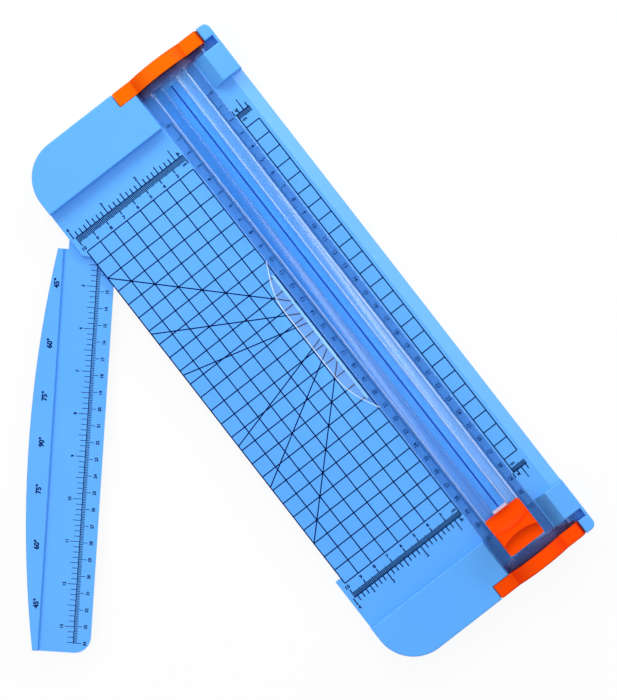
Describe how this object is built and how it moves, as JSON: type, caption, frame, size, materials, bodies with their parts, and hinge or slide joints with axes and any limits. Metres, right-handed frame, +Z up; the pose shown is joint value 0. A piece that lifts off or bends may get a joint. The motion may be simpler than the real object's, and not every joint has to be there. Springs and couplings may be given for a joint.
{
  "type": "slide-rail paper trimmer",
  "caption": "Desk paper trimmer with a ruled bed, a lift-up clear rail with a press-down sliding cutter, and a bowed measuring arm that swings out from under the bed.",
  "frame": {"origin": "bottom centre of the whole machine's bounding box, with the measuring arm swung out as in the picture and the rail down", "axes": "+X along the cut towards the end where the cutter is parked, +Y towards the rail's hinge side, +Z up from the desk"},
  "size_m": [0.378, 0.311, 0.0335],
  "materials": {
    "blue_plastic": "satin",
    "strip_plastic": "satin",
    "clear_plastic": "clear polished",
    "natural_plastic": "undyed moulded",
    "printed_ink": "pad-printed scales and grid lines",
    "orange_plastic": "satin",
    "holder_plastic": "moulded",
    "blade_steel": "ground",
    "steel": "zinc plated",
    "rubber": "matt"
  },
  "bodies": {
    "base": {"base_shell": "blue_plastic", "cutting_strip": "strip_plastic", "foot_wide_left": "rubber", "foot_wide_right": "rubber", "foot_narrow_left": "rubber", "foot_narrow_right": "rubber", "ruler_pivot_screw": "steel", "ruler_pivot_washer": "steel", "hinge_pin_left": "steel", "hinge_pin_right": "steel"},
    "rail_assembly": {"clear_rail": "clear_plastic", "end_cap_left": "orange_plastic", "end_cap_right": "orange_plastic", "end_cap_screws_left": "steel", "end_cap_screws_right": "steel"},
    "carriage": {"carriage_shoe": "natural_plastic", "return_spring_left": "steel", "return_spring_right": "steel"},
    "knob_assembly": {"cutter_knob": "orange_plastic", "blade_holder": "holder_plastic", "cutter_blade": "blade_steel", "blade_pin": "steel", "holder_screws": "steel"},
    "ruler": {"extension_ruler": "blue_plastic"}
  },
  "joints": [
    {"name": "rail_lift", "type": "hinge", "parent": "base", "child": "rail_assembly", "pos_m": [0, 0.14368, 0.015], "axis": [-1, 0, 0], "range_deg": [0, 35]},
    {"name": "carriage_slide", "type": "slide", "parent": "rail_assembly", "child": "carriage", "axis": [-1, 0, 0], "range_m": [-0.0017, 0.3193]},
    {"name": "knob_press", "type": "slide", "parent": "carriage", "child": "knob_assembly", "axis": [0, 0, -1], "range_m": [0, 0.003], "stiffness_N_per_m": 500, "springref_m": -0.003, "deforming": ["return_spring_left", "return_spring_right"]},
    {"name": "ruler_swing", "type": "hinge", "parent": "base", "child": "ruler", "pos_m": [-0.14, 0.02953, 0.0059], "axis": [0, 0, 1], "range_deg": [-48.46, 41.54]}
  ]
}
